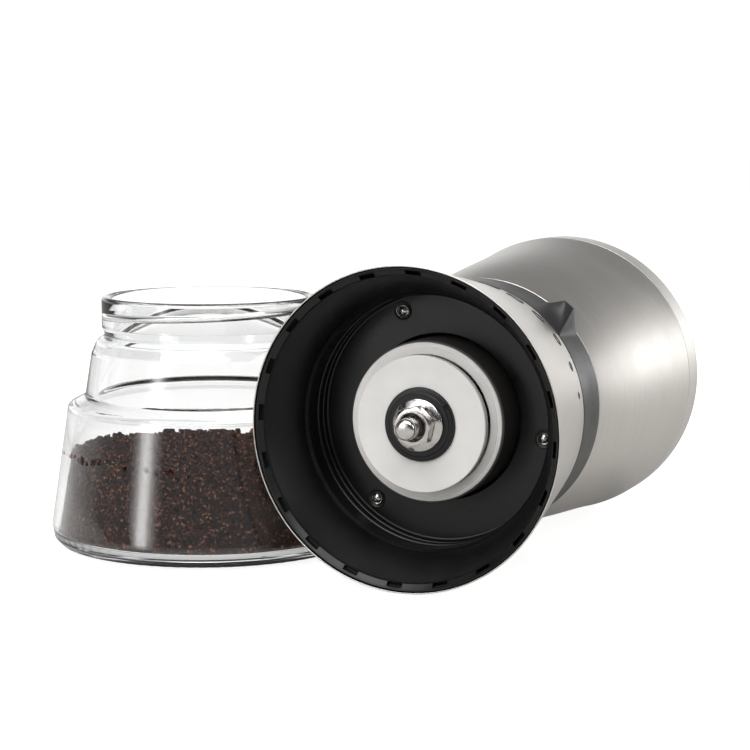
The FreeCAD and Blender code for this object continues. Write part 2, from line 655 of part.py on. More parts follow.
def make_glass_jar():
    wall = "glass_wall"
    keep_at_jar(revolved("GlassJar", [
        ("foot_inner_radius", "0"), ("foot_radius", "0", ("4.8", 1)), ("belly_radius", "belly_height"),
        ("side_radius", "side_height", ("7.2", 1)), ("step_radius", "step_height"),
        ("upper_radius", "upper_height", ("5.2", 1)), ("neck_radius", "neck_height"),
        ("neck_top_radius", "neck_height + 2.6"), ("neck_top_radius", "bead_low", ("2.0", -1)),
        ("neck_top_radius", "bead_high"),
        ("neck_top_radius", "jar_height - lip_round", ("lip_round", 1)),
        ("neck_top_radius - lip_round", "jar_height"),
        ("neck_radius - %s + 0.8" % wall, "jar_height", ("1.2", 1)),
        ("neck_radius - %s" % wall, "jar_height - 1.0"), ("neck_radius - %s" % wall, "neck_height - 2"),
        ("upper_radius - %s" % wall, "upper_height - 3"), ("step_radius - %s" % wall, "step_height - 1"),
        ("side_radius - %s" % wall, "side_height - 3"), ("belly_radius - %s" % wall, "belly_height + 8"),
        ("belly_radius - %s - 6" % wall, "glass_base"), ("0", "glass_base"), ("0", "foot_hollow"),
        ("foot_inner_radius - 2", "foot_hollow"),
    ]), "glass_jar")


def make_grounds():
    reach = "belly_radius - glass_wall - grounds_gap"
    keep_at_jar(revolved("CoffeeGrounds", [
        ("0", "glass_base + grounds_gap"), (reach + " - 6.1", "glass_base + grounds_gap"),
        (reach, "belly_height + 8"), (reach + " - 2.8", "grounds_edge"), ("0", "grounds_peak"),
    ]), "coffee_grounds")


def make_all():
    make_skirt_shell()
    make_skirt_liner()
    make_liner_screws()
    make_adjusting_ring()
    make_burr_carrier()
    make_outer_burr()
    make_inner_burr()
    make_burr_hub()
    make_flange_nut()
    make_drive_shaft()
    make_bush("LowerBush", "lower_bush", "low_bush")
    make_bush("UpperBush", "upper_bush", "high_bush")
    make_bridge("LowerBridge", "lower_bridge", "low_bush", "low_arm_reach", 30)
    make_bridge("UpperBridge", "upper_bridge", "high_bush", "high_arm_reach", 30)
    make_washer()
    make_spring()
    make_clip()
    make_hopper_core()
    make_hopper_shell()
    make_lid_shell()
    make_lid_plug()
    make_lid_gasket()
    make_crank_hub()
    make_crank_arm()
    make_knob_pin()
    make_crank_knob()
    make_knob_cap()
    make_glass_jar()
    make_grounds()


def write_parts():
    """Check every object of the document, then write each sub-part's shape."""
    for thing in doc.Objects:
        if "Invalid" in thing.State or "Error" in thing.State:
            raise RuntimeError(thing.Name + " failed to build")
    for node in NODES:
        if node.Shape.isNull() or not node.Shape.isValid():
            raise RuntimeError(node.Label + " has no valid shape")
    os.makedirs("parts", exist_ok=True)
    for node in NODES:
        node.Shape.exportStep("parts/%s.step" % node.Label)
        print("%-16s %2d solids %9.1f mm3" % (node.Label, len(node.Shape.Solids), node.Shape.Volume))


make_all()
doc.recompute()
write_parts()
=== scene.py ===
"""Looks of the hand coffee grinder: the glass jar of grounds and the steel head lying beside it.

Pieces of the head are drawn in the head's own frame, in millimetres: the mouth at zero, the axis along +Z,
X to the jar's side and Y up. HEAD then lays them down where the frame's crank joint says.
"""
import json
import math
import random

import bmesh
import bpy
from mathutils import Matrix, Vector, noise


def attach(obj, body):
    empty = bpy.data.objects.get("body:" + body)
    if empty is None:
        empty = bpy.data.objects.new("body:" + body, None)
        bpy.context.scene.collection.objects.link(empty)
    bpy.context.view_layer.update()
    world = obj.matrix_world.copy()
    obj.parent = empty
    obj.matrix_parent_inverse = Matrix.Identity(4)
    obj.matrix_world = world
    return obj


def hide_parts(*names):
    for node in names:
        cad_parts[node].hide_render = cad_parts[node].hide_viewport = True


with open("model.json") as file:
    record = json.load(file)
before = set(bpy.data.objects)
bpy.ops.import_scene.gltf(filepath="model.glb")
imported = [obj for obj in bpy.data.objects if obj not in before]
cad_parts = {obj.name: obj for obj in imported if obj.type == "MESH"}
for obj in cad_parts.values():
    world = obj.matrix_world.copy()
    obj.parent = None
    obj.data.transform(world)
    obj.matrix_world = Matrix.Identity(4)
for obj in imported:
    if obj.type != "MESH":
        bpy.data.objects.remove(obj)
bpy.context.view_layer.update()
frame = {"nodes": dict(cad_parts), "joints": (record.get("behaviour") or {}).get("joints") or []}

MM = 0.001
TURN = 2 * math.pi
JOINTS = {joint["name"]: joint for joint in frame["joints"]}


def head_matrix():
    """Where the head lies: its mouth's centre and its axis come from the crank's joint."""
    joint = JOINTS["crank_turn"]
    axis = Vector(joint["axis"]).normalized()
    up = Vector((0, 0, 1))
    side = up.cross(axis).normalized()
    place = Matrix((side, up, axis)).transposed().to_4x4()
    place.translation = Vector(joint["pos_m"])
    return place


HEAD = head_matrix()

# Sizes on the head, in millimetres from the mouth's plane and from the axis.
MOUTH_RADIUS = 44.0
WAIST_RADIUS = 36.8
SKIRT_TOP = 43.4
RING_LOW, RING_HIGH = 43.7, 60.0
HOPPER_LOW, LID_SEAM, LID_TOP = 60.3, 132.0, 146.0
FLOOR_HEIGHT = 29.0
SOCKET_RADIUS = 35.0
SLOT_COUNT = 20
CRANK_LENGTH = 86.0
CRANK_DROP = math.radians(-21.5)
MARK_ANGLES = [math.radians(106.6 + 12.6 * step) for step in range(6)]
POINTER_TIP, POINTER_APEX = 142.4, 135.6


# ---------------------------------------------------------------- mesh helpers

def arc_points(start, corner, end, radius, steps):
    """The corner cut round: points of the arc that touches both sides at the radius asked for."""
    into, out = (start - corner), (end - corner)
    half = into.angle(out) / 2
    reach = min(radius / math.tan(half), 0.49 * into.length, 0.49 * out.length)
    radius = reach * math.tan(half)
    into.normalize()
    out.normalize()
    centre = corner + (into + out).normalized() * (radius / math.sin(half))
    first = corner + into * reach - centre
    last = corner + out * reach - centre
    turn = first.angle_signed(last)
    points = []
    for step in range(steps + 1):
        angle = -turn * step / steps
        points.append(centre + Matrix.Rotation(angle, 2) @ first)
    return points


def rounded(outline, closed=True, steps=4):
    """Corners (radius, height, rounding) as a smooth list of points."""
    corners = [Vector(corner[:2]) for corner in outline]
    points = []
    for number, corner in enumerate(outline):
        rounding = corner[2] if len(corner) > 2 else 0
        is_end = not closed and number in (0, len(outline) - 1)
        if rounding <= 0 or is_end:
            points.append(corners[number])
            continue
        before = corners[number - 1]
        after = corners[(number + 1) % len(corners)]
        points.extend(arc_points(before, corners[number], after, rounding, steps))
    return points


def new_object(name, bm, place=None, sharp=32, weighted=True):
    """A mesh in millimetres made into an object in metres, smooth but for its sharp edges."""
    bmesh.ops.recalc_face_normals(bm, faces=bm.faces)
    bm.transform(Matrix.Scale(MM, 4))
    mesh = bpy.data.meshes.new(name)
    bm.to_mesh(mesh)
    bm.free()
    mesh.shade_smooth()
    mesh.set_sharp_from_angle(angle=math.radians(sharp))
    piece = bpy.data.objects.new(name, mesh)
    bpy.context.scene.collection.objects.link(piece)
    if place is not None:
        piece.matrix_world = place
    if weighted:
        modifier = piece.modifiers.new("weighted", "WEIGHTED_NORMAL")
        modifier.keep_sharp = True
    return piece


def lathe_mesh(points, steps=160, closed=True, bend=None, angles=None):
    """Turn a list of (radius, height) points about Z; bend(angle, radius, height) may move each one."""
    bm = bmesh.new()
    angles = angles or [TURN * step / steps for step in range(steps)]
    rings = []
    for point in points:
        if point[0] < 1e-6 and bend is None:
            rings.append([bm.verts.new((0, 0, point[1]))] * len(angles))
            continue
        ring = []
        for angle in angles:
            radius, height = bend(angle, point[0], point[1]) if bend else point
            ring.append(bm.verts.new((radius * math.cos(angle), radius * math.sin(angle), height)))
        rings.append(ring)
    pairs = list(zip(rings, rings[1:]))
    if closed:
        pairs.append((rings[-1], rings[0]))
    for lower, upper in pairs:
        for step in range(len(angles)):
            following = (step + 1) % len(angles)
            corners = [lower[step], lower[following], upper[following], upper[step]]
            corners = list(dict.fromkeys(corners))
            if len(corners) > 2:
                bm.faces.new(corners)
    return bm


def lathe(name, outline, place=HEAD, steps=160, closed=True, corner_steps=4):
    """An outline of (radius, height, rounding) corners turned about an axis of the head."""
    points = rounded(outline, closed, corner_steps)
    return new_object(name, lathe_mesh(points, steps, closed), place)


def ride_for(piece, body, slot, *nodes):
    """The piece rides on a body and stands for the CAD nodes named, which are hidden; the slot is not used.
    """
    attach(piece, body)
    if nodes:
        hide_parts(*nodes)
    return piece


def paint(piece, material):
    piece.data.materials.clear()
    piece.data.materials.append(material)
    return piece


# ---------------------------------------------------------------- material helpers

def new_material(name, **inputs):
    """A node material with a Principled shader whose plain sockets are set directly."""
    material = bpy.data.materials.new(name)
    material.use_nodes = True
    shader = material.node_tree.nodes["Principled BSDF"]
    for socket, number in inputs.items():
        shader.inputs[socket.replace("_", " ").title()].default_value = number
    return material, material.node_tree.nodes, material.node_tree.links, shader


def coordinates(nodes, links, scale):
    """Object coordinates, scaled per axis."""
    source = nodes.new("ShaderNodeTexCoord").outputs["Object"]
    stretch = nodes.new("ShaderNodeMapping")
    stretch.inputs["Scale"].default_value = scale
    links.new(source, stretch.inputs["Vector"])
    return stretch.outputs["Vector"]


def noise_of(nodes, links, vector, scale=1.0, detail=4.0, rough=0.55):
    texture = nodes.new("ShaderNodeTexNoise")
    texture.inputs["Scale"].default_value = scale
    texture.inputs["Detail"].default_value = detail
    texture.inputs["Roughness"].default_value = rough
    links.new(vector, texture.inputs["Vector"])
    return texture.outputs["Fac"]


def ramp_of(nodes, links, value, stops):
    """A colour ramp with a stop for each (position, colour)."""
    ramp = nodes.new("ShaderNodeValToRGB")
    elements = ramp.color_ramp.elements
    while len(elements) < len(stops):
        elements.new(0.5)
    for element, (place, colour) in zip(elements, stops):
        element.position = place
        element.color = (*colour, 1)
    links.new(value, ramp.inputs["Fac"])
    return ramp.outputs["Color"]


def range_of(nodes, links, value, low, high, start=0.3, end=0.7):
    """A value that goes from low to high while its source goes from start to end."""
    remap = nodes.new("ShaderNodeMapRange")
    remap.inputs["From Min"].default_value = start
    remap.inputs["From Max"].default_value = end
    remap.inputs["To Min"].default_value = low
    remap.inputs["To Max"].default_value = high
    links.new(value, remap.inputs["Value"])
    return remap.outputs["Result"]


def bump_from(nodes, links, shader, value, strength, distance=0.0002):
    bump = nodes.new("ShaderNodeBump")
    bump.inputs["Strength"].default_value = strength
    bump.inputs["Distance"].default_value = distance
    links.new(value, bump.inputs["Height"])
    links.new(bump.outputs["Normal"], shader.inputs["Normal"])


# ---------------------------------------------------------------- materials

def brushed_steel(name, along=(60, 60, 5200)):
    """Satin steel with fine scratches round the barrel and broad stretched highlights."""
    light, rough = 0.66, 0.3
    material, nodes, links, shader = new_material(name, metallic=1.0, anisotropic=0.72)
    grain = noise_of(nodes, links, coordinates(nodes, links, along), 1.0, 5.0, 0.6)
    broad = noise_of(nodes, links, coordinates(nodes, links, (25, 25, 60)), 1.0, 2.0)
    low, high = light * 0.82, light * 1.06
    tint = ramp_of(nodes, links, grain, [(0.25, (low, low * 0.955, low * 0.90)),
                                         (0.75, (high, high * 0.96, high * 0.91))])
    links.new(tint, shader.inputs["Base Color"])
    mixed = nodes.new("ShaderNodeMath")
    mixed.operation = "MULTIPLY_ADD"
    links.new(broad, mixed.inputs[0])
    mixed.inputs[1].default_value = 0.10
    links.new(range_of(nodes, links, grain, rough - 0.06, rough + 0.06), mixed.inputs[2])
    links.new(mixed.outputs[0], shader.inputs["Roughness"])
    tangent = nodes.new("ShaderNodeTangent")
    tangent.direction_type = "RADIAL"
    tangent.axis = "Z"
    links.new(tangent.outputs["Tangent"], shader.inputs["Tangent"])
    bump_from(nodes, links, shader, grain, 0.22, 0.00004)
    return material


def bright_steel(name, rough=0.16, light=0.68):
    """Plated steel of small hardware, with faint tool marks."""
    material, nodes, links, shader = new_material(name, metallic=1.0)
    marks = noise_of(nodes, links, coordinates(nodes, links, (900, 900, 2500)), 1.0, 4.0)
    links.new(range_of(nodes, links, marks, rough - 0.05, rough + 0.12), shader.inputs["Roughness"])
    tint = ramp_of(nodes, links, marks, [(0.3, (light * 0.8, light * 0.77, light * 0.74)),
                                         (0.7, (light, light * 0.98, light * 0.95))])
    links.new(tint, shader.inputs["Base Color"])
    bump_from(nodes, links, shader, marks, 0.15, 0.00005)
    return material


def moulded_plastic(name, dark, light, rough, bump=0.12, grain=3500, gloss=0.35):
    """Moulded plastic: a fine satin grain, slightly uneven gloss and faint handling marks."""
    material, nodes, links, shader = new_material(name)
    shader.inputs["Specular IOR Level"].default_value = gloss
    fine = noise_of(nodes, links, coordinates(nodes, links, (grain,) * 3), 1.0, 2.0)
    broad = noise_of(nodes, links, coordinates(nodes, links, (70, 70, 70)), 1.0, 5.0, 0.6)
    links.new(ramp_of(nodes, links, broad, [(0.3, dark), (0.75, light)]), shader.inputs["Base Color"])
    links.new(range_of(nodes, links, broad, rough - 0.07, rough + 0.07), shader.inputs["Roughness"])
    bump_from(nodes, links, shader, fine, bump, 0.00003)
    return material


def ceramic_material():
    """White fired ceramic, ground matt, with a trace of warm mottling."""
    material, nodes, links, shader = new_material("ceramic", subsurface_weight=0.12)
    shader.inputs["Subsurface Radius"].default_value = (0.0012, 0.001, 0.0008)
    shader.inputs["Subsurface Scale"].default_value = 1.0
    fine = noise_of(nodes, links, coordinates(nodes, links, (2200,) * 3), 1.0, 3.0)
    broad = noise_of(nodes, links, coordinates(nodes, links, (120,) * 3), 1.0, 3.0)
    links.new(ramp_of(nodes, links, broad, [(0.3, (0.655, 0.64, 0.625)), (0.7, (0.71, 0.695, 0.68))]),
              shader.inputs["Base Color"])
    links.new(range_of(nodes, links, fine, 0.42, 0.6), shader.inputs["Roughness"])
    bump_from(nodes, links, shader, fine, 0.12, 0.00004)
    return material


def glass_material(name, rough, tint):
    """Clear moulded glass; its surface ripples a little, so lines seen through it waver."""
    material, nodes, links, shader = new_material(name, transmission_weight=1.0, roughness=rough)
    shader.inputs["IOR"].default_value = 1.5
    shader.inputs["Base Color"].default_value = (tint, tint + 0.006, tint + 0.006, 1)
    ripple = noise_of(nodes, links, coordinates(nodes, links, (40, 40, 70)), 1.0, 1.0)
    bump_from(nodes, links, shader, ripple, 0.12, 0.0004)
    return material


def grounds_material(name, lift=1.0):
    """Ground coffee: dark brown specks with a few lighter, redder ones."""
    material, nodes, links, shader = new_material(name, roughness=0.9)
    shader.inputs["Specular IOR Level"].default_value = 0.04
    cells = nodes.new("ShaderNodeTexVoronoi")
    cells.inputs["Scale"].default_value = 1.0
    links.new(coordinates(nodes, links, (1750,) * 3), cells.inputs["Vector"])
    pick = nodes.new("ShaderNodeSeparateColor")
    links.new(cells.outputs["Color"], pick.inputs["Color"])
    tones = [(0.0, (0.004, 0.0014, 0.0012)), (0.4, (0.011, 0.0038, 0.0029)), (0.78, (0.032, 0.011, 0.0075)),
             (0.93, (0.095, 0.036, 0.021)), (1.0, (0.22, 0.09, 0.048))]
    tones = [(place, tuple(part * lift for part in tone)) for place, tone in tones]
    links.new(ramp_of(nodes, links, pick.outputs["Red"], tones), shader.inputs["Base Color"])
    bump_from(nodes, links, shader, cells.outputs["Distance"], 0.6, 0.00025)
    return material


STEEL = brushed_steel("brushed_steel")
STEEL_ARM = brushed_steel("arm_steel", along=(60, 5200, 60))
BRIGHT = bright_steel("bright_steel")
# Black plastic of the liner and other parts; the scale marks also take it, where the black is painted shade
# in their engraved grooves.
BLACK = moulded_plastic("black_plastic", (0.003, 0.003, 0.0035), (0.006, 0.006, 0.0065), 0.34, 0.08)
CHARCOAL = moulded_plastic("charcoal_plastic", (0.05, 0.047, 0.044), (0.07, 0.066, 0.062), 0.55, 0.2)
GREY = moulded_plastic("ring_plastic", (0.011, 0.011, 0.012), (0.018, 0.018, 0.019), 0.38, 0.15)
GLOSS = moulded_plastic("knob_plastic", (0.006, 0.006, 0.007), (0.012, 0.012, 0.013), 0.2, 0.06, gloss=0.5)
CERAMIC = ceramic_material()
GLASS = glass_material("jar_glass", 0.0, 0.91)
FROSTED = glass_material("foot_glass", 0.35, 0.6)
GROUNDS = grounds_material("grounds")
GRAINS = grounds_material("grains", 1.25)
SILICONE = moulded_plastic("silicone", (0.12, 0.12, 0.12), (0.16, 0.16, 0.16), 0.6)
BRONZE = bright_steel("bronze", 0.4)


# ---------------------------------------------------------------- steel shells

def make_skirt_shell():
    wall, lip = 0.7, 0.38
    outline = [
        (MOUTH_RADIUS, 0.0, 0.15), (WAIST_RADIUS, SKIRT_TOP, 0.2), (WAIST_RADIUS - wall, SKIRT_TOP, 0.1),
        (42.75, 2.6), (MOUTH_RADIUS - lip, 1.6), (MOUTH_RADIUS - lip, 0.0, 0.15),
    ]
    piece = lathe("skirt_shell_piece", outline, steps=256)
    ride_for(paint(piece, STEEL), "head", "skirt_steel", "skirt_shell")


def flare(height):
    """Outer radius of the hopper at a height: a waist that opens to the lid in one easy curve."""
    along = (height - HOPPER_LOW) / (LID_SEAM - HOPPER_LOW)
    return 36.3 + 7.7 * (1.576 * along - 1.289 * along ** 2 + 0.713 * along ** 3)


def make_hopper_shell():
    wall, steps = 0.8, 36
    heights = [HOPPER_LOW + (LID_SEAM - HOPPER_LOW) * step / steps for step in range(steps + 1)]
    outer = [(flare(height), height) for height in heights]
    inner = [(flare(height) - wall, height) for height in reversed(heights)]
    outer[0] = (outer[0][0], HOPPER_LOW, 0.25)
    outer[-1] = (outer[-1][0], LID_SEAM, 0.12)
    piece = lathe("hopper_shell_piece", outer + inner, steps=256)
    ride_for(paint(piece, STEEL), "head", "hopper_steel", "hopper_shell")


def make_lid_shell():
    outline = [
        (44.0, LID_SEAM + 0.25, 0.12), (44.0, LID_TOP, 4.5), (3.8, LID_TOP, 0.3),
        (3.8, LID_TOP - 0.8), (43.2, LID_TOP - 0.8, 3.7), (43.2, LID_SEAM + 0.25, 0.1),
    ]
    piece = lathe("lid_shell_piece", outline, steps=256, corner_steps=10)
    ride_for(paint(piece, STEEL), "lid", "hopper_steel", "lid_shell")


# ---------------------------------------------------------------- liner

def make_skirt_liner():
    """The black liner: sloping slotted rim, concave wall, step, socket and floor."""
    outline = [(42.6, 2.2), (36.0, 42.8, 0.2), (34.0, 42.8, 0.2), (34.0, 31.5, 0.3), (23.2, 31.5, 0.3),
               (23.2, FLOOR_HEIGHT, 0.3), (SOCKET_RADIUS, FLOOR_HEIGHT, 0.8), (SOCKET_RADIUS, 17.3, 0.4)]
    curve, wall_high, wall_low = 10, 16.1, 2.65
    for step in range(curve + 1):
        along = step / curve
        height = wall_high + (wall_low - wall_high) * along
        outline.append((35.7 + 5.6 * along ** 1.3, height, 0.25 if step in (0, curve) else 0))
    slope_low, slope_high = (41.55, 1.7), (42.65, 0.93)
    outline += [slope_low, slope_high, (43.1, 0.45, 0.15), (43.3, 0.45, 0.1), (43.3, 2.0)]
    points = rounded(outline)
    slot_half, in_slot, between = 3.02, 4, 8
    first_slot, slot_depth = 3.5, 1.6
    step_angle = 360 / SLOT_COUNT
    angles = []
    for number in range(SLOT_COUNT):
        centre = first_slot + step_angle * number
        land = step_angle - 2 * slot_half
        angles += [centre - slot_half + 2 * slot_half * step / in_slot for step in range(in_slot)]
        angles += [centre + slot_half + land * step / between for step in range(between)]
    bm = lathe_mesh(points, closed=True, angles=[math.radians(angle) for angle in angles])
    bm.faces.ensure_lookup_table()
    band = next(n for n, point in enumerate(points) if abs(point[0] - slope_low[0]) < 1e-3)
    first_face = band * len(angles)
    slots = []
    for number in range(SLOT_COUNT):
        start = first_face + number * (in_slot + between)
        slots.append([bm.faces[start + step] for step in range(in_slot)])
    for faces in slots:
        sunk = bmesh.ops.extrude_face_region(bm, geom=faces)
        corners = [item for item in sunk["geom"] if isinstance(item, bmesh.types.BMVert)]
        bmesh.ops.translate(bm, verts=corners, vec=(0, 0, slot_depth))
        bmesh.ops.delete(bm, geom=faces, context="FACES")
    piece = new_object("skirt_liner_piece", bm, HEAD)
    ride_for(paint(piece, BLACK), "head", "black_plastic", "skirt_liner")


def helix_bead(name, radius, low, pitch, turns, height, width, place, inward=1, steps=96, start=0.0):
    """A low rounded thread ridge that follows a helix and fades out at both ends."""
    bm = bmesh.new()
    count = int(steps * turns)
    rows = []
    section = 8
    for step in range(count + 1):
        along = step / count
        angle = start + TURN * turns * along
        fade = min(1.0, along * count / 6, (1 - along) * count / 6)
        row = []
        for corner in range(section + 1):
            across = corner / section
            rise = math.sin(math.pi * across) ** 0.7 * height * fade
            level = low + pitch * turns * along + (across - 0.5) * width
            reach = radius - inward * (rise - 0.3)
            row.append(bm.verts.new((reach * math.cos(angle), reach * math.sin(angle), level)))
        rows.append(row)
    for lower, upper in zip(rows, rows[1:]):
        for corner in range(section):
            bm.faces.new([lower[corner], lower[corner + 1], upper[corner + 1], upper[corner]])
        bm.faces.new([lower[section], lower[0], upper[0], upper[section]])
    bm.faces.new(rows[0])
    bm.faces.new(list(reversed(rows[-1])))
    return new_object(name, bm, place, sharp=40)


def make_socket_thread():
    piece = helix_bead("socket_thread", SOCKET_RADIUS, 20.6, 3.6, 2.1, 0.8, 1.5, HEAD, start=1.0)
    ride_for(paint(piece, BLACK), "head", "black_plastic")


# ---------------------------------------------------------------- adjusting ring and scale marks

def pointer_rise(angle, height):
    """How far the pointer stands out of the ring at an angle in degrees and a height."""
    crest = 56.5
    along = min(1.0, max(0.0, (height - RING_LOW) / (crest - RING_LOW)))
    ridge = POINTER_TIP + (POINTER_APEX - POINTER_TIP) * along
    top = 4.7 * along
    if height > crest:
        top -= ((height - crest) / (RING_HIGH - crest)) ** 2
    left = ridge - 5.0 * along
    if angle > ridge:
        share = (angle - ridge) / (0.8 + 8.5 * along)
        return top * max(0.0, 1 - share) ** 1.7
    if angle >= left:
        return top * (1 - 0.06 * (ridge - angle) / 5)
    share = (left - angle) / max(0.5, left - 124.0)
    return 0.94 * top * max(0.0, 1 - share) ** 1.35


def make_adjusting_ring():
    """The ring with its swept pointer, whose sides run out in hollow curves."""
    fine = [118 + 0.5 * step for step in range(80)]
    coarse = [158 + 2.5 * step for step in range(128)]
    angles = [math.radians(angle) for angle in fine + coarse]
    levels = 22
    outer = []
    for step in range(levels + 1):
        along = step / levels
        height = RING_LOW + (RING_HIGH - RING_LOW) * along
        outer.append((WAIST_RADIUS - 0.5 * along, height, 0.35 if step in (0, levels) else 0))
    inner = [(33.3, RING_HIGH, 0.2), (33.3, RING_LOW, 0.2)]
    points = rounded(outer + inner)

    def bend(angle, radius, height):
        if radius < 35.6:
            return radius, height
        return radius + pointer_rise(math.degrees(angle) % 360, height), height

    bm = lathe_mesh(points, bend=bend, angles=angles)
    piece = new_object("adjusting_ring_piece", bm, HEAD, sharp=38)
    ride_for(paint(piece, GREY), "ring", "ring_plastic", "adjusting_ring")


def skirt_radius(height):
    return MOUTH_RADIUS - (MOUTH_RADIUS - WAIST_RADIUS) * height / SKIRT_TOP


def make_scale_marks():
    """Six engraved marks below the ring, from a dot to a long oval, as thin black tubes along the grooves:
    painted shade for the shade inside the engraving.
    """
    bm = bmesh.new()
    centre_height, groove = 37.4, 0.34
    section, turns = 6, 40
    for number, middle in enumerate(reversed(MARK_ANGLES)):
        half_long = 0.7 + 0.5 * number
        half_wide = 0.6 + 0.36 * number
        rows = []
        for step in range(turns):
            round_it = TURN * step / turns
            across = half_long * math.cos(round_it)
            level = half_wide * math.sin(round_it)
            out = Vector((math.cos(round_it) / half_long, math.sin(round_it) / half_wide))
            out.normalize()
            row = []
            for corner in range(section):
                tilt = TURN * corner / section
                side = groove * math.cos(tilt)
                lift = groove * 0.5 * math.sin(tilt)
                height = centre_height + level + out.y * side
                radius = skirt_radius(height) + lift
                angle = middle + (across + out.x * side) / radius
                row.append(bm.verts.new((radius * math.cos(angle), radius * math.sin(angle), height)))
            rows.append(row)
        for step in range(turns):
            lower, upper = rows[step], rows[(step + 1) % turns]
            for corner in range(section):
                following = (corner + 1) % section
                bm.faces.new([lower[corner], lower[following], upper[following], upper[corner]])
    # The marks are thin black tubes: painted shade standing in for the shade inside the engraved grooves.
    piece = new_object("scale_marks_painted_shade", bm, HEAD)
    ride_for(paint(piece, BLACK), "head", "black_plastic")


# ---------------------------------------------------------------- burrs, hub, nut and shaft

def make_burr_carrier():
    outline = [
        (22.4, 18.2, 0.5), (22.4, 49.8, 0.3), (28.5, 49.8, 0.3), (28.5, 52.2, 0.3),
        (16.5, 52.2, 0.3), (16.5, 37.3, 0.2), (20.5, 37.3, 0.1), (20.5, 18.2, 0.2),
    ]
    piece = lathe("burr_carrier_piece", outline)
    ride_for(paint(piece, CHARCOAL), "carrier", "black_plastic", "burr_carrier")


def make_outer_burr():
    """The fixed burr: a rounded rim with a fine step round its face, and a toothed cone inside."""
    outline = [
        (18.75, 17.2, 0.25), (20.6, 17.2, 0.1), (20.7, 17.42, 0.1), (21.1, 17.45, 0.1), (21.9, 17.7, 0.35),
        (21.9, 18.2, 0.1), (20.4, 18.2, 0.1), (20.4, 37.2, 0.2), (11.4, 37.2, 0.3),
    ]
    points = rounded(outline)
    count = 48

    def bend(angle, radius, height):
        if height > 18.0 and radius < 18.7 and height < 37.0:
            wave = (count * angle / TURN + height * 0.12) % 1.0
            radius -= 0.35 * abs(2 * wave - 1)
        return radius, height

    bm = lathe_mesh(points, steps=count * 6, bend=bend)
    piece = new_object("outer_burr_piece", bm, HEAD)
    ride_for(paint(piece, CERAMIC), "carrier", "ceramic", "outer_burr")


def make_inner_burr():
    """The turning burr: a flat ground disc below a cone of slanted teeth with five deep flutes."""
    levels = 24
    cone = []
    for step in range(levels + 1):
        along = step / levels
        cone.append((18.8 + (9.0 - 18.8) * along ** 1.05, 15.4 + (37.0 - 15.4) * along))
    outline = [(10.1, 13.3, 0.2), (18.8, 13.3, 0.6), (18.8, 14.1)] + cone
    outline += [(3.2, 37.0), (3.2, 24.1), (10.1, 24.1)]
    points = rounded(outline)
    fine, teeth, flutes = 120, 40, 5

    def bend(angle, radius, height):
        if height > 14.9 and radius > 8.9:
            nick = (fine * angle / TURN + height * 0.3) % 1.0
            wave = (teeth * angle / TURN + height * 0.22) % 1.0
            radius -= 0.3 * max(0.0, 1 - 2.6 * abs(nick - 0.5))
            radius -= 0.9 * min(1.0, max(0.0, (height - 17.5) / 3)) * max(0.0, 1 - 2.6 * abs(wave - 0.5))
            if height > 25:
                deep = (flutes * angle / TURN + height * 0.05) % 1.0
                radius -= 3.0 * min(1.0, (height - 25) / 6) * max(0.0, 1 - 3.4 * abs(deep - 0.5))
        return radius, height

    bm = lathe_mesh(points, steps=fine * 6, bend=bend)
    piece = new_object("inner_burr_piece", bm, HEAD)
    ride_for(paint(piece, CERAMIC), "drive", "ceramic", "inner_burr")


def make_burr_hub():
    """The black hub in the inner burr, with a small notch in its rim."""
    outline = [
        (3.05, 12.05, 0.1), (8.6, 12.05, 0.1), (8.8, 12.25, 0.1),
        (10.06, 12.25, 0.35), (10.06, 24.0, 0.2), (3.05, 24.0, 0.1),
    ]
    notch_angle, notch_half, notch_depth = math.radians(146), math.radians(4), 0.5

    def bend(angle, radius, height):
        away = abs((angle - notch_angle + math.pi) % TURN - math.pi)
        if radius > 9.5 and height < 14 and away < notch_half:
            height += notch_depth
        return radius, height

    bm = lathe_mesh(rounded(outline), steps=180, bend=bend)
    piece = new_object("burr_hub_piece", bm, HEAD)
    ride_for(paint(piece, BLACK), "drive", "black_plastic", "burr_hub")


def make_flange_nut():
    """A chamfered hexagon on a round, slightly coned flange."""
    flat, face, collar = 5.0, 6.95, 10.5

    def hexagon(angle):
        side = math.radians(60)
        return flat / math.cos((angle + math.radians(17)) % side - side / 2)

    steps = 144
    angles = [TURN * step / steps for step in range(steps)]
    rings = [[corner] * steps for corner in ((3.03, 12.05), (7.2, 12.05), (7.2, 11.35), (6.9, 11.05))]
    rings.append([(hexagon(angle) + 0.15, collar) for angle in angles])
    rings.append([(hexagon(angle), collar - 0.25) for angle in angles])
    rings.append([(hexagon(angle), face + 0.12 + 0.55 * (hexagon(angle) - flat)) for angle in angles])
    rings.append([(min(hexagon(angle), 4.95), face + 0.04) for angle in angles])
    chamfer = ((4.75, face), (4.05, face), (3.7, face + 0.45), (3.55, face + 2.6), (3.03, face + 3.0))
    rings += [[corner] * steps for corner in chamfer]
    bm = bmesh.new()
    verts = []
    for ring in rings:
        row = []
        for (radius, height), angle in zip(ring, angles):
            row.append(bm.verts.new((radius * math.cos(angle), radius * math.sin(angle), height)))
        verts.append(row)
    for lower, upper in zip(verts, verts[1:] + verts[:1]):
        for step in range(steps):
            following = (step + 1) % steps
            bm.faces.new([lower[step], lower[following], upper[following], upper[step]])
    piece = new_object("flange_nut_piece", bm, HEAD, sharp=28)
    ride_for(paint(piece, BRIGHT), "drive", "bright_steel", "flange_nut")


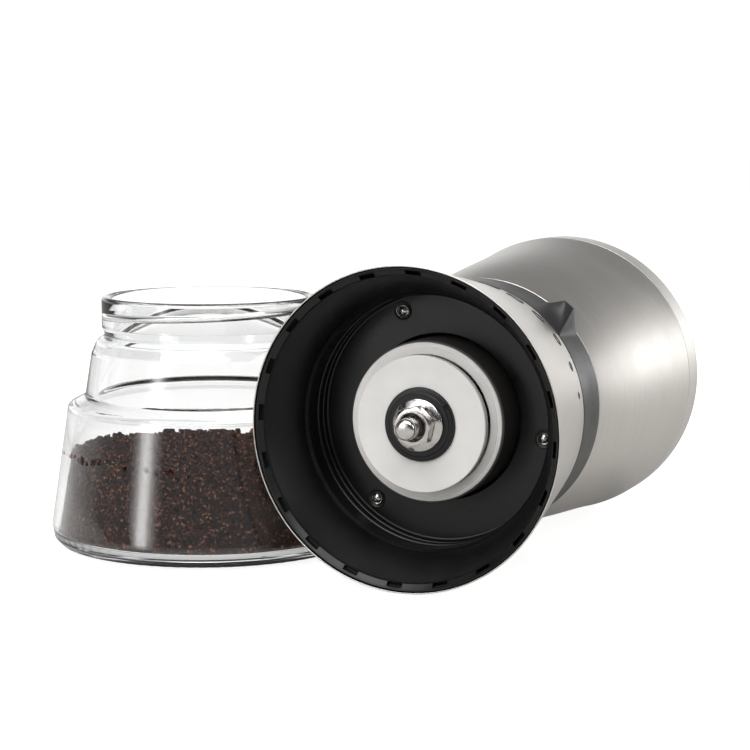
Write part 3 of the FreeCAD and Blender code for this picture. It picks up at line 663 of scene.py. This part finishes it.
def make_drive_shaft():
    """The shaft with a rounded threaded end, a plain shank and a hexagon for the crank."""
    points = [(0.0, 1.6), (1.7, 1.62), (2.35, 1.8), (2.75, 2.15), (2.93, 2.6), (2.98, 3.2), (2.98, 6.4)]
    height = 6.6
    while height < 12.0:
        points += [(2.7, height), (2.7, height + 0.15), (2.95, height + 0.45), (2.95, height + 0.6)]
        height += 0.9
    points += [(2.98, 13.6), (3.0, 14.0), (3.0, 148.6), (2.85, 149.0)]
    body = lathe_mesh([Vector(point) for point in points] + [Vector((0.0, 149.0))], steps=64, closed=False)
    piece = new_object("drive_shaft_piece", body, HEAD, sharp=40)
    flats = [(0.0, 149.0), (2.9, 149.0), (2.9, 156.6), (2.6, 157.0), (0.0, 157.0)]
    place = HEAD @ Matrix.Rotation(CRANK_DROP, 4, "Z")
    hexagon = lathe_mesh([Vector(point) for point in flats], steps=6, closed=False)
    hexagon = new_object("drive_shaft_hexagon", hexagon, place)
    for part in (piece, hexagon):
        ride_for(paint(part, BRIGHT), "drive", "bright_steel", "drive_shaft")


def make_liner_screws():
    """Three small domed screws with a cross recess, each in a dark countersink."""
    crown, slot_half, slot_reach, slot_depth = 28.25, 0.26, 1.25, 0.55
    rings = [(0.0, crown)] + [(0.13 * step, crown + 0.022 * step ** 2 / 4) for step in range(1, 14)]
    rings += [(1.85, 28.75), (1.85, 29.3)]
    points = [Vector((max(radius, 0.02), height)) for radius, height in rings]

    def cross(angle, radius, height):
        across = min(abs(radius * math.cos(angle)), abs(radius * math.sin(angle)))
        if radius < slot_reach and across < slot_half:
            height += slot_depth
        return radius, height

    for number, (angle, reach) in enumerate(((68.4, 31.26), (188.4, 30.3), (308.4, 31.26))):
        turn = math.radians(angle)
        place = HEAD @ Matrix.Translation((reach * math.cos(turn) * MM, reach * math.sin(turn) * MM, 0))
        place = place @ Matrix.Rotation(turn * 1.7, 4, "Z")
        bm = lathe_mesh(points, steps=72, closed=False, bend=cross)
        head = new_object("liner_screw_%d" % number, bm, place)
        ride_for(paint(head, BRIGHT), "head", "bright_steel", "liner_screws")
        lip = [(2.0, 28.95, 0.1), (2.5, 28.75, 0.1), (2.75, 29.05, 0.1), (2.0, 29.3)]
        ring = lathe("screw_recess_%d" % number, lip, place, steps=48)
        ride_for(paint(ring, BLACK), "head", "black_plastic")


# ---------------------------------------------------------------- lid, crank and knob

CRANK = HEAD @ Matrix.Rotation(CRANK_DROP, 4, "Z")
PIN = CRANK @ Matrix.Translation((CRANK_LENGTH * MM, 0, 0))


def make_crank_hub():
    outline = [
        (3.06, 147.0, 0.1), (8.2, 147.0, 0.5), (8.2, 150.6, 0.3), (5.5, 150.6), (5.5, 153.6),
        (8.2, 153.6, 0.3), (8.2, 159.5, 2.0), (0.0, 159.5), (0.0, 157.4), (3.06, 157.4),
    ]
    points = rounded(outline)
    piece = new_object("crank_hub_piece", lathe_mesh(points, steps=96), CRANK)
    ride_for(paint(piece, BRIGHT), "crank", "bright_steel", "crank_hub")


def make_crank_arm():
    """A flat bar with round ends and soft edges."""
    bm = bmesh.new()
    ends = ((0.0, 9.0, 90, 270), (CRANK_LENGTH, 7.0, -90, 90))
    steps, low, thick = 24, 150.6, 3.0
    outline = []
    for across, radius, first, last in ends:
        for step in range(steps + 1):
            angle = math.radians(first + (last - first) * step / steps)
            outline.append((across + radius * math.cos(angle), radius * math.sin(angle)))
    bottom = bm.faces.new([bm.verts.new((x, y, low)) for x, y in outline])
    raised = bmesh.ops.extrude_face_region(bm, geom=[bottom])
    top = [item for item in raised["geom"] if isinstance(item, bmesh.types.BMVert)]
    bmesh.ops.translate(bm, verts=top, vec=(0, 0, thick))
    rim = [edge for edge in bm.edges if abs(edge.verts[0].co.z - edge.verts[1].co.z) < 1e-6]
    bmesh.ops.bevel(bm, geom=rim, offset=0.6, segments=3, affect="EDGES", profile=0.6)
    piece = new_object("crank_arm_piece", bm, CRANK)
    ride_for(paint(piece, STEEL_ARM), "crank", "hopper_steel", "crank_arm")


def make_knob():
    """The knob, the cap in its end and the pin that it turns on."""
    low, swell, steps = 154.4, 22.0, 16
    outline = [(3.07, low, 0.2), (8.5, low, 0.8)]
    for step in range(1, steps):
        along = step / steps
        radius = 8.5 + 3.5 * math.sin(math.pi / 2 * along) ** 2
        outline.append((radius, low + swell * along))
    outline += [
        (12.0, 178.0), (11.6, 182.5), (10.4, 186.2), (8.3, 188.6, 0.8), (6.0, 189.0, 0.3),
        (6.0, 183.0), (3.07, 183.0),
    ]
    knob = lathe("crank_knob_piece", outline, PIN, steps=128)
    ride_for(paint(knob, GLOSS), "knob", "knob_plastic", "crank_knob")
    disc = [(0.0, 187.0), (5.95, 187.0, 0.2), (5.95, 188.9, 0.5), (3.5, 189.0), (0.0, 188.7)]
    cap = lathe("knob_cap_piece", disc, PIN, steps=96, closed=False)
    ride_for(paint(cap, CHARCOAL), "knob", "knob_plastic", "knob_cap")
    rivet = [
        (0.0, 149.2), (3.6, 149.2, 0.4), (4.6, 149.9, 0.3), (4.6, 150.6), (3.0, 150.6),
        (3.0, 184.0), (4.6, 184.0, 0.2), (4.6, 185.4, 0.3), (0.0, 185.4),
    ]
    pin = lathe("knob_pin_piece", rivet, PIN, steps=64, closed=False)
    ride_for(paint(pin, BRIGHT), "crank", "bright_steel", "knob_pin")


# ---------------------------------------------------------------- jar and grounds

FOOT_RING = (40.0, 44.9)
FOOT_WIDTH = 4.9
FOOT_TOP = 1.6
FOOT_BEADS = 72


def jar_outline():
    """The glass, from the foot up the outside, over the lip and down the inside."""
    return [
        (37.0, 0.0, 0.4), (39.6, 0.0, 0.2), (40.6, 0.25), (41.8, 0.5), (43.0, 0.75), (44.2, 1.0),
        (45.0, 1.2, 0.3), (46.8, 2.9, 1.6), (47.4, 6.6, 4.0), (44.4, 26.6, 8.0),
        (42.6, 38.6, 1.0), (42.2, 42.0, 2.4), (37.0, 44.8, 1.0), (35.0, 57.2, 2.2), (33.4, 61.0, 2.2),
        (30.9, 62.6, 0.8), (31.85, 65.0, 1.0), (31.85, 74.0, 1.3), (29.1, 74.0, 1.35),
        (28.5, 63.0, 2.0), (32.2, 57.0, 3.0), (34.1, 43.4, 2.5), (39.4, 40.6, 2.0), (41.8, 26.6, 8.0),
        (45.6, 5.4, 1.6), (43.4, 3.4, 1.0), (0.0, 3.2), (0.0, 1.6), (36.0, 1.6, 0.8),
    ]


def foot_beads(angle, radius, height):
    """A ring of long low beads moulded under the foot's edge."""
    if height < FOOT_TOP and FOOT_RING[0] < radius < FOOT_RING[1]:
        wave = math.sin(FOOT_BEADS * angle / 2 + (2.0 if radius > 42.4 else 0.0))
        height += 0.3 * (abs(wave) - 0.5) * math.sin(math.pi * (radius - FOOT_RING[0]) / FOOT_WIDTH)
    return radius, max(0.02, height) if radius > FOOT_RING[0] else height


def make_jar():
    """The glass jar, frosted under the edge of its foot."""
    points = rounded(jar_outline(), steps=6)
    bm = lathe_mesh(points, steps=576, bend=foot_beads)
    bmesh.ops.remove_doubles(bm, verts=bm.verts, dist=0.0005)
    piece = new_object("glass_jar_piece", bm, None, sharp=50, weighted=False)
    ride_for(paint(piece, GLASS), "jar", "glass", "glass_jar")
    piece.data.materials.append(FROSTED)
    frosted_from = 40.4
    for polygon in piece.data.polygons:
        reach = math.hypot(polygon.center.x, polygon.center.y)
        low = polygon.center.z < FOOT_TOP * MM and reach > frosted_from * MM
        polygon.material_index = 1 if low else 0


def make_jar_thread():
    """A thread bead that climbs half way round the neck."""
    turns, start = 172 / 360, math.radians(184)
    piece = helix_bead("jar_thread", 31.85, 68.2, 7.0, turns, 1.2, 2.2, None, inward=-1, start=start)
    ride_for(paint(piece, GLASS), "jar", "glass")


def heap_height(x, y):
    """The heap's surface: highest a little left of the middle, lower towards the glass, and lumpy."""
    away = math.hypot(x + 6, y) / 42
    level = 33.0 - 7.0 * min(1.3, away) ** 1.7
    broad = 1.2 * noise.noise(Vector((x * 0.12, y * 0.12, 3)))
    fine = 2.0 * noise.noise(Vector((x * 0.45, y * 0.45, 7)))
    return level + (broad + fine)


def inner_glass_radius(height):
    """The glass's inner face where the grounds lie against it."""
    if height < 5.6:
        return 43.6 + 1.75 * math.sqrt(max(0.0, (height - 3.6) / 2.0))
    return 45.35 - 0.176 * (height - 5.6)


def make_grounds():
    """The heap as one closed mesh: its side against the glass, then rings in to the middle."""
    rng = random.Random(7)
    rings, steps, levels = 46, 220, 26
    bottom, edge_reach, gap, jitter = 3.75, 41.0, 0.25, 0.35
    bm = bmesh.new()
    rows = []
    for level in range(levels + 1):
        share = level / levels
        row = []
        for step in range(steps):
            angle = TURN * step / steps
            top = heap_height(edge_reach * math.cos(angle), edge_reach * math.sin(angle))
            height = bottom + (top - bottom) * share
            radius = inner_glass_radius(height) - gap - jitter * rng.random()
            row.append(bm.verts.new((radius * math.cos(angle), radius * math.sin(angle), height)))
        rows.append(row)
    for ring in range(1, rings + 1):
        share = 1 - ring / rings
        row = []
        for step in range(steps):
            edge = rows[levels][step].co
            x, y = edge.x * share, edge.y * share
            blend = min(1.0, (1 - share) * 9)
            height = edge.z * (1 - blend) + (heap_height(x, y) + jitter * (rng.random() - 0.5)) * blend
            row.append(bm.verts.new((x, y, height)))
        rows.append(row)
    for lower, upper in zip(rows, rows[1:]):
        for step in range(steps):
            following = (step + 1) % steps
            bm.faces.new([lower[step], lower[following], upper[following], upper[step]])
    bm.faces.new(list(reversed(rows[0])))
    bmesh.ops.remove_doubles(bm, verts=bm.verts, dist=0.001)
    piece = new_object("coffee_heap", bm, None, sharp=180, weighted=False)
    ride_for(paint(piece, GROUNDS), "jar", "grounds", "coffee_grounds")


def grain_shape():
    """Corners and faces of one angular grain: a small icosahedron."""
    bm = bmesh.new()
    bmesh.ops.create_icosphere(bm, subdivisions=1, radius=1.0)
    corners = [vert.co.copy() for vert in bm.verts]
    faces = [[vert.index for vert in face.verts] for face in bm.faces]
    bm.free()
    return corners, faces


def make_grains():
    """Loose grains on the heap and along its edge against the glass."""
    rng = random.Random(11)
    shape, shape_faces = grain_shape()
    points, faces = [], []
    grain_count, clump_every = 11000, 24
    for number in range(grain_count):
        angle = rng.random() * TURN
        reach = 41.0 * math.sqrt(rng.random())
        if number % 3 == 0:
            reach = 39.0 + 2.0 * rng.random()
        x, y = reach * math.cos(angle), reach * math.sin(angle)
        size = 0.26 + 1.1 * rng.random() ** 4
        if number % clump_every == 0:
            size = 0.9 + 0.9 * rng.random()
        centre = Vector((x, y, heap_height(x, y) + size * 0.35 * rng.random()))
        spin = Vector((rng.random() - 0.5, rng.random() - 0.5, rng.random() - 0.5)).normalized()
        turn = Matrix.Rotation(rng.random() * TURN, 3, spin)
        wide = size * (0.6 + 0.5 * rng.random())
        thick = size * (0.55 + 0.4 * rng.random())
        stretch = Matrix.Diagonal((size, wide, thick))
        first = len(points)
        points.extend((centre + turn @ (stretch @ corner)) * MM for corner in shape)
        faces.extend([first + corner for corner in face] for face in shape_faces)
    mesh = bpy.data.meshes.new("coffee_grains")
    mesh.from_pydata(points, [], faces)
    piece = bpy.data.objects.new("coffee_grains", mesh)
    bpy.context.scene.collection.objects.link(piece)
    ride_for(paint(piece, GRAINS), "jar", "grounds", "coffee_grounds")


# ---------------------------------------------------------------- CAD nodes kept as they are

def finish_cad_nodes():
    """Carried-over CAD nodes keep their shape and take a better material."""
    finishes = {
        "lower_bush": BRONZE, "upper_bush": BRONZE, "lower_bridge": BLACK,
        "upper_bridge": BLACK, "thrust_washer": BRIGHT, "thrust_spring": BRIGHT, "shaft_clip": BRIGHT,
        "hopper_core": BLACK, "lid_plug": BLACK, "lid_gasket": SILICONE,
    }
    for node, material in finishes.items():
        paint(frame["nodes"][node], material)


# ---------------------------------------------------------------- stage

def seen_directly(nodes, links, otherwise, directly):
    """One number for what is seen straight on or through glass, another for light and reflections."""
    path = nodes.new("ShaderNodeLightPath")
    clear = nodes.new("ShaderNodeMath")
    clear.operation = "MULTIPLY"
    links.new(path.outputs["Is Transmission Ray"], clear.inputs[0])
    after_gloss = 0.7
    depth = path.outputs["Glossy Depth"]
    links.new(range_of(nodes, links, depth, 1.0, after_gloss, 0.0, 1.0), clear.inputs[1])
    seen = nodes.new("ShaderNodeMath")
    seen.operation = "MAXIMUM"
    links.new(path.outputs["Is Camera Ray"], seen.inputs[0])
    links.new(clear.outputs[0], seen.inputs[1])
    pick = nodes.new("ShaderNodeMix")
    links.new(seen.outputs[0], pick.inputs["Factor"])
    pick.inputs["B"].default_value = directly
    if isinstance(otherwise, float):
        pick.inputs["A"].default_value = otherwise
    else:
        links.new(otherwise, pick.inputs["A"])
    return pick.outputs["Result"]


def make_floor():
    """A pale sheet of paper just below the object."""
    bm = bmesh.new()
    bmesh.ops.create_grid(bm, x_segments=8, y_segments=8, size=6000)
    floor = new_object("floor", bm, None, weighted=False)
    floor.location.z = -0.0002
    material, nodes, links, shader = new_material("floor_paper", roughness=0.9)
    shader.inputs["Specular IOR Level"].default_value = 0.1
    tone = noise_of(nodes, links, coordinates(nodes, links, (3, 3, 3)), 1.0, 3.0)
    links.new(ramp_of(nodes, links, tone, [(0.3, (0.40, 0.395, 0.38)), (0.7, (0.43, 0.425, 0.41))]),
              shader.inputs["Base Color"])
    shader.inputs["Emission Color"].default_value = (1, 1, 1, 1)
    links.new(seen_directly(nodes, links, 0.12, 0.9), shader.inputs["Emission Strength"])
    paint(floor, material)


def area_light(name, place, aim, size, power):
    light = bpy.data.lights.new(name, "AREA")
    light.shape = "RECTANGLE"
    light.size, light.size_y = size
    light.energy = power
    lamp = bpy.data.objects.new(name, light)
    lamp.location = place
    lamp.rotation_euler = (Vector(aim) - Vector(place)).to_track_quat("-Z", "Y").to_euler()
    bpy.context.scene.collection.objects.link(lamp)


def make_world():
    """A white sky behind the object and through the glass.

    In gloss and shade it is a dim studio with a pale strip along the horizon at the back.
    """
    world = bpy.data.worlds.new("studio")
    bpy.context.scene.world = world
    world.use_nodes = True
    nodes, links = world.node_tree.nodes, world.node_tree.links
    background = nodes["Background"]
    background.inputs["Color"].default_value = (1.0, 1.0, 1.0, 1)
    direction = nodes.new("ShaderNodeSeparateXYZ")
    links.new(nodes.new("ShaderNodeTexCoord").outputs["Generated"], direction.inputs["Vector"])
    height = range_of(nodes, links, direction.outputs["Z"], 0.0, 1.0, -1.0, 1.0)
    tones = [
        (0.0, (0.3, 0.29, 0.27)), (0.36, (0.38, 0.365, 0.33)), (0.43, (0.02,) * 3),
        (0.49, (0.02,) * 3), (0.515, (1.0,) * 3), (0.575, (1.0,) * 3),
        (0.66, (0.24,) * 3), (0.8, (0.16,) * 3), (0.93, (0.6,) * 3),
    ]
    strip = ramp_of(nodes, links, height, tones)
    behind = range_of(nodes, links, direction.outputs["Y"], 0.08, 1.3, -0.1, 0.5)
    studio = nodes.new("ShaderNodeMath")
    studio.operation = "MULTIPLY"
    links.new(strip, studio.inputs[0])
    links.new(behind, studio.inputs[1])
    links.new(seen_directly(nodes, links, studio.outputs[0], 1.05), background.inputs["Strength"])


def make_lights():
    """Nested strips at the left, brighter and shorter towards their middle, and four softboxes."""
    for number in range(7):
        width, tall = 0.46 * 0.76 ** number, 0.8 * 0.82 ** number
        place = (-0.63, -0.61, 0.02 + tall / 2)
        area_light("left_softbox", place, (0, 0, 0.03), (width, tall), (0.9 + 0.75 * number) * width * tall)
    area_light("front_softbox", (-0.3, -1.0, 1.35), (0.03, 0, 0.04), (1.7, 1.3), 31)
    area_light("top_softbox", (0.2, 0.15, 1.1), (0.08, 0.03, 0), (0.5, 0.5), 4)
    area_light("right_softbox", (0.85, -0.55, 0.45), (0.06, -0.04, 0.04), (0.5, 0.5), 2.6)
    area_light("back_softbox", (0.78, 0.62, 0.11), (0.08, 0, 0.05), (0.3, 0.2), 0.3)


def make_camera():
    """The camera stands a little to the right of the jar, 0.6 m away, and looks slightly down."""
    data = bpy.data.cameras.new("camera")
    data.sensor_width = 36
    data.lens = 98.19
    camera = bpy.data.objects.new("camera", data)
    camera.location = (0.04935, -0.60698, 0.12704)
    camera.rotation_euler = (math.radians(90 - 7.24), 0, 0)
    bpy.context.scene.collection.objects.link(camera)
    bpy.context.scene.camera = camera
    bpy.context.scene.view_settings.view_transform = "Standard"


make_camera()
make_world()
make_lights()
make_floor()
finish_cad_nodes()
make_skirt_shell()
make_hopper_shell()
make_lid_shell()
make_skirt_liner()
make_socket_thread()
make_adjusting_ring()
make_scale_marks()
make_burr_carrier()
make_outer_burr()
make_inner_burr()
make_burr_hub()
make_flange_nut()
make_drive_shaft()
make_liner_screws()
make_crank_hub()
make_crank_arm()
make_knob()
make_jar()
make_jar_thread()
make_grounds()
make_grains()
